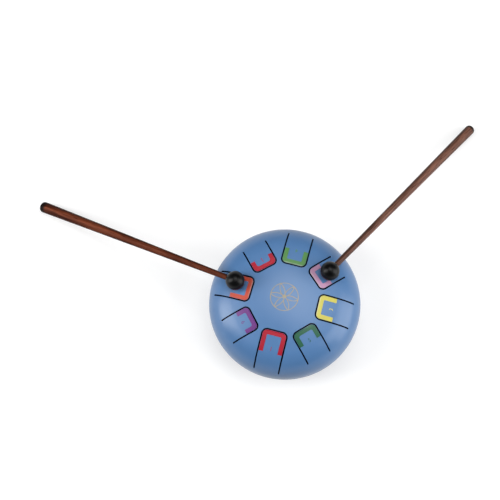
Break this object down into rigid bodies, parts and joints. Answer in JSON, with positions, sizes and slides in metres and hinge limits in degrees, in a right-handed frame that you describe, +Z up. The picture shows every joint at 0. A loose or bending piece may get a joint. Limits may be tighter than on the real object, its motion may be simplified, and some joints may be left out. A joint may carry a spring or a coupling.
{
  "type": "steel tongue drum",
  "caption": "Small round steel tongue drum, a hollow painted shell with slotted tongues and colour-coded notes, on rubber feet, with ball-headed wooden mallets leaning on it.",
  "frame": {"origin": "on the table plane, on the drum's axis, at the centre of the circle of its feet", "axes": "+Z up along the drum's axis, -Y towards the player along tongue 1, +X to the player's right"},
  "size_m": [0.4391, 0.327, 0.0933],
  "materials": {
    "blue_enamel": "satin baked enamel",
    "film_red": "printed vinyl film",
    "film_orange": "printed vinyl film",
    "film_yellow": "printed vinyl film",
    "film_light_green": "printed vinyl film",
    "film_dark_green": "printed vinyl film",
    "film_purple": "printed vinyl film",
    "film_pink": "printed vinyl film",
    "foot_rubber": "moulded matte",
    "zinc_steel": "bright zinc plated",
    "rosewood": "turned and oiled, reddish brown",
    "mallet_rubber": "moulded matte"
  },
  "bodies": {
    "drum": {"top_shell": "blue_enamel", "bottom_shell": "blue_enamel", "rim_weld": "blue_enamel", "note_band_1": "film_red", "note_band_2": "film_orange", "note_band_3": "film_yellow", "note_band_4": "film_light_green", "note_band_5": "film_dark_green", "note_band_6": "film_purple", "note_band_7": "film_pink", "note_band_8": "film_red", "foot_rear_right": "foot_rubber", "foot_rear_left": "foot_rubber", "foot_front_left": "foot_rubber", "foot_front_right": "foot_rubber", "foot_screws": "zinc_steel", "foot_washers": "zinc_steel", "foot_nuts": "zinc_steel"},
    "left_mallet": {"left_mallet_stick": "rosewood", "left_mallet_head": "mallet_rubber"},
    "right_mallet": {"right_mallet_stick": "rosewood", "right_mallet_head": "mallet_rubber"}
  },
  "joints": [
    {"name": "left_mallet_swing", "type": "hinge", "parent": "drum", "child": "left_mallet", "pos_m": [-0.28277, 0.04354, 0.0032], "axis": [-0.1736, -0.9848, 0], "range_deg": [0, 50]},
    {"name": "right_mallet_swing", "type": "hinge", "parent": "drum", "child": "right_mallet", "pos_m": [0.14593, 0.24451, 0.0032], "axis": [-0.8874, 0.461, 0], "range_deg": [0, 50]}
  ]
}
